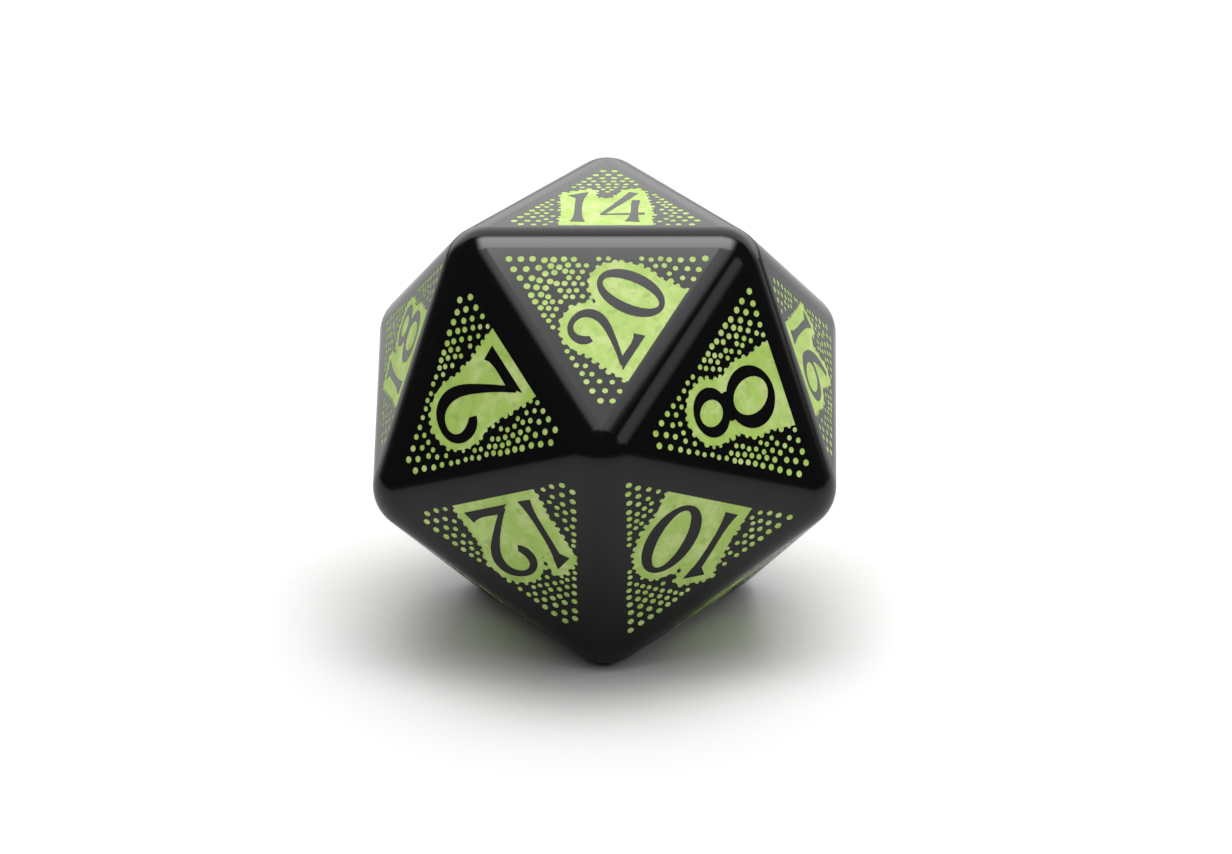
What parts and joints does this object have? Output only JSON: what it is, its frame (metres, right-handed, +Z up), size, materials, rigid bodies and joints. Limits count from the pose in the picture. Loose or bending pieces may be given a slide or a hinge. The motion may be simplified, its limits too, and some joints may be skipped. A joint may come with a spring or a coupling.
{
  "type": "polyhedral die",
  "caption": "Icosahedral gaming die in gloss black plastic with rounded edges; every face is engraved and filled with green paint round a numeral.",
  "frame": {"origin": "on the floor under the middle of the die: the middle of the face it rests on, the one numbered 7", "axes": "+Z up, through the face numbered 14; -Y toward the ridge between the faces numbered 12 and 10; +X to the right seen from there"},
  "size_m": [0.0212, 0.0238, 0.02],
  "materials": {
    "die_plastic": "polished gloss black",
    "numeral_paint": "matte lime green, slightly mottled"
  },
  "bodies": {
    "root": {"die_body": "die_plastic", "paint_01": "numeral_paint", "paint_02": "numeral_paint", "paint_03": "numeral_paint", "paint_04": "numeral_paint", "paint_05": "numeral_paint", "paint_06": "numeral_paint", "paint_07": "numeral_paint", "paint_08": "numeral_paint", "paint_09": "numeral_paint", "paint_10": "numeral_paint", "paint_11": "numeral_paint", "paint_12": "numeral_paint", "paint_13": "numeral_paint", "paint_14": "numeral_paint", "paint_15": "numeral_paint", "paint_16": "numeral_paint", "paint_17": "numeral_paint", "paint_18": "numeral_paint", "paint_19": "numeral_paint", "paint_20": "numeral_paint"}
  },
  "joints": []
}
